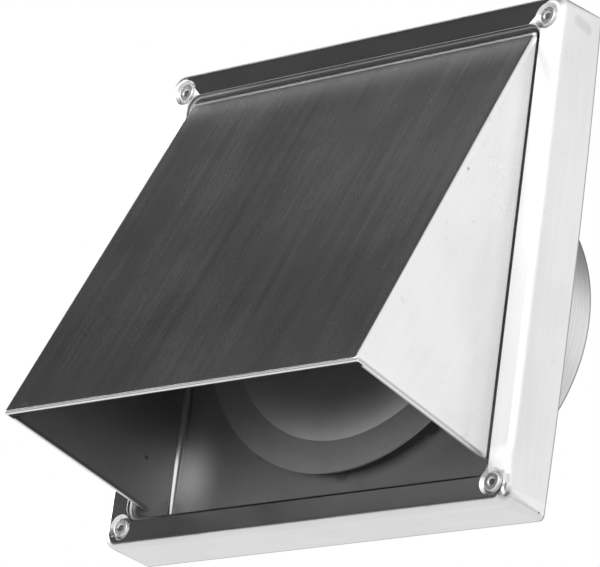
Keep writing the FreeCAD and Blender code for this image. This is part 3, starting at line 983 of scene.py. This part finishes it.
def surround(look):
    """Pale surround with a dim ceiling, dark cards and bright panels, as seen in the steel."""
    world = bpy.data.worlds.new("pale_surround")
    bpy.context.scene.world = world
    world.use_nodes = True
    tree = world.node_tree
    output = new_tree(tree, "ShaderNodeOutputWorld")
    sky = Sky(tree, tree.nodes.new("ShaderNodeTexCoord").outputs["Generated"])
    front_card = number(tree, "MULTIPLY", sky.about(*FRONT_CARD), sky.above(-20, 8))
    back_card = number(tree, "MULTIPLY", sky.about(-138, 18, 12), sky.between(-6, 24, 6))
    panels = number(tree, "MAXIMUM", sky.about(-75, 14, 6), sky.about(-12, 12, 6))
    panels = number(tree, "MULTIPLY", panels, sky.between(5, 24, 5))
    key = number(tree, "MULTIPLY", sky.about(42, 12, 12), sky.between(5, 40, 8))
    top_panel = number(tree, "MULTIPLY", sky.about(-117, 21, 10), sky.between(40, 60, 8))
    ceiling = number(tree, "MULTIPLY", sky.about(-90, 85, 15), sky.above(26, 10))
    light = mix(tree, "FLOAT", panels, look.surround_light, look.panel_light)
    light = mix(tree, "FLOAT", key, light, look.key_light)
    light = mix(tree, "FLOAT", front_card, light, look.card_light)
    light = mix(tree, "FLOAT", back_card, light, look.card_light)
    light = mix(tree, "FLOAT", ceiling, light, look.ceiling_light)
    light = mix(tree, "FLOAT", top_panel, light, look.top_light)
    camera_ray = tree.nodes.new("ShaderNodeLightPath").outputs["Is Camera Ray"]
    background = tree.nodes.new("ShaderNodeBackground")
    feed(tree, background.inputs["Color"], (1.0, 1.0, 1.0))
    feed(tree, background.inputs["Strength"], mix(tree, "FLOAT", camera_ray, light, 1.0))
    tree.links.new(background.outputs[0], output.inputs["Surface"])


def pale_floor(look):
    """Plain floor, which camera, mirror and glass see as part of the pale background."""
    form = bmesh.new()
    bmesh.ops.create_grid(form, x_segments=1, y_segments=1, size=look.floor_size / 2,
                          matrix=Matrix.Translation((0, 0, -look.floor_drop)))
    mesh = bpy.data.meshes.new("studio_floor")
    form.to_mesh(mesh)
    form.free()
    floor = bpy.data.objects.new("studio_floor", mesh)
    bpy.context.scene.collection.objects.link(floor)
    material = bpy.data.materials.new("floor_pale")
    material.use_nodes = True
    tree = material.node_tree
    output = new_tree(tree, "ShaderNodeOutputMaterial")
    place = tree.nodes.new("ShaderNodeTexCoord").outputs["Object"]
    diffuse = tree.nodes.new("ShaderNodeBsdfDiffuse")
    tone = span(tree, noise(tree, place, even(3.0)), 0.3, 0.7, 0.85, 0.89)
    feed(tree, diffuse.inputs["Color"], tone)
    glow = tree.nodes.new("ShaderNodeEmission")
    rays = tree.nodes.new("ShaderNodeLightPath").outputs
    far = span(tree, vector(tree, "LENGTH", place), 1.7, 2.3)
    foot_of_card = number(tree, "MULTIPLY", Sky(tree, place).about(*FRONT_CARD),
                          number(tree, "MULTIPLY", far, rays["Is Glossy Ray"]))
    feed(tree, glow.inputs["Color"], mix(tree, "RGBA", foot_of_card, even(1.0), even(look.card_light)))
    seen = number(tree, "MAXIMUM", rays["Is Camera Ray"], rays["Is Transmission Ray"])
    share = mix(tree, "FLOAT", rays["Is Glossy Ray"], number(tree, "MULTIPLY", seen, 0.85), 0.97)
    blend = tree.nodes.new("ShaderNodeMixShader")
    feed(tree, blend.inputs[0], share)
    tree.links.new(diffuse.outputs[0], blend.inputs[1])
    tree.links.new(glow.outputs[0], blend.inputs[2])
    tree.links.new(blend.outputs[0], output.inputs["Surface"])
    mesh.materials.append(material)


def stand_camera(look):
    """Camera at its place, turned to its aim and rolled about its line of sight."""
    data = bpy.data.cameras.new("studio_camera")
    camera = bpy.data.objects.new("studio_camera", data)
    bpy.context.scene.collection.objects.link(camera)
    place = Vector(look.camera_place)
    sight = Vector(look.camera_aim) - place
    turn = sight.to_track_quat("-Z", "Y").to_matrix().to_4x4()
    camera.matrix_world = Matrix.Translation(place) @ turn @ Matrix.Rotation(look.camera_roll, 4, "Z")
    data.lens = look.focal_length
    data.sensor_width = 36.0
    data.shift_x = look.shift_x
    data.shift_y = look.shift_y
    data.clip_start = 0.05
    data.clip_end = 100.0
    bpy.context.scene.camera = camera


class VENTCAP_OT_build_stage(bpy.types.Operator):
    """Set up the floor, the pale surround and the camera"""
    bl_idname = "ventcap.build_stage"
    bl_label = "Stage"

    def execute(self, context):
        look = context.scene.ventcap_stage
        surround(look)
        pale_floor(look)
        stand_camera(look)
        context.scene.view_settings.view_transform = "Standard"
        return {"FINISHED"}


OPERATORS = (
    VENTCAP_OT_dress_trim_frame,
    VENTCAP_OT_dress_hood,
    VENTCAP_OT_dress_base_pan,
    VENTCAP_OT_dress_flap,
    VENTCAP_OT_dress_gasket,
    VENTCAP_OT_dress_collar,
    VENTCAP_OT_dress_hinge_pin,
    VENTCAP_OT_dress_hinge_brackets,
    VENTCAP_OT_dress_rivets,
    VENTCAP_OT_dress_mandrels,
    VENTCAP_OT_build_stage,
)


class VENTCAP_PT_sidebar(bpy.types.Panel):
    """Finishes and stage of the vent cap"""
    bl_idname = "VENTCAP_PT_sidebar"
    bl_label = "Vent Cap"
    bl_space_type = "VIEW_3D"
    bl_region_type = "UI"
    bl_category = "Vent Cap"

    def draw(self, context):
        layout = self.layout
        for group in (context.scene.ventcap_finish, context.scene.ventcap_stage):
            column = layout.column()
            for name in group.__annotations__:
                column.prop(group, name)
        for operator in OPERATORS:
            layout.operator(operator.bl_idname)


CLASSES = (VentCapFinishSettings, VentCapStageSettings) + OPERATORS + (VENTCAP_PT_sidebar,)


def register():
    for cls in CLASSES:
        bpy.utils.register_class(cls)
    bpy.types.Scene.ventcap_finish = bpy.props.PointerProperty(type=VentCapFinishSettings)
    bpy.types.Scene.ventcap_stage = bpy.props.PointerProperty(type=VentCapStageSettings)


def unregister():
    del bpy.types.Scene.ventcap_stage
    del bpy.types.Scene.ventcap_finish
    for cls in reversed(CLASSES):
        bpy.utils.unregister_class(cls)


def main():
    register()
    for operator in OPERATORS:
        group, name = operator.bl_idname.split(".")
        getattr(getattr(bpy.ops, group), name)()


if __name__ == "__main__":
    main()
